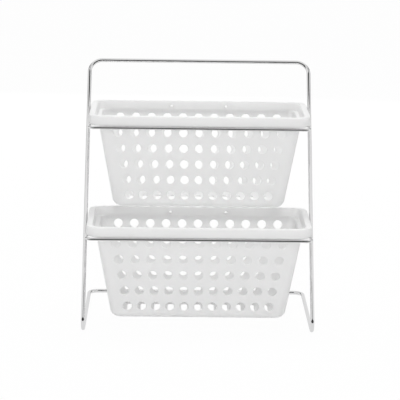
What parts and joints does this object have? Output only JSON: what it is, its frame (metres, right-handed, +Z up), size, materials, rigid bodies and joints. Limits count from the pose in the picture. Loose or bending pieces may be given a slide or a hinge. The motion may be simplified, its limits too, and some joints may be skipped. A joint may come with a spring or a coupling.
{
  "type": "two-tier countertop organizer",
  "caption": "Countertop stand of bent chrome rod that leans back and carries stepped, perforated plastic baskets, each hung in a rod hoop and free to lift out.",
  "frame": {"origin": "on the counter, at the middle of the loop that the stand lies on", "axes": "+X to the right as seen from the front, +Y to the back, +Z up"},
  "size_m": [0.295, 0.2061, 0.3228],
  "materials": {
    "chrome_rod": "polished",
    "chrome_hoop": "polished",
    "white_plastic": "satin"
  },
  "bodies": {
    "stand": {"stand_rod": "chrome_rod", "upper_hoop": "chrome_hoop", "lower_hoop": "chrome_hoop"},
    "upper_basket_body": {"upper_basket": "white_plastic"},
    "lower_basket_body": {"lower_basket": "white_plastic"}
  },
  "joints": [
    {"name": "upper_basket_lift", "type": "slide", "parent": "stand", "child": "upper_basket_body", "axis": [0, 0, 1], "range_m": [0, 0.18]},
    {"name": "lower_basket_lift", "type": "slide", "parent": "stand", "child": "lower_basket_body", "axis": [0, 0, 1], "range_m": [0, 0.0045]}
  ]
}
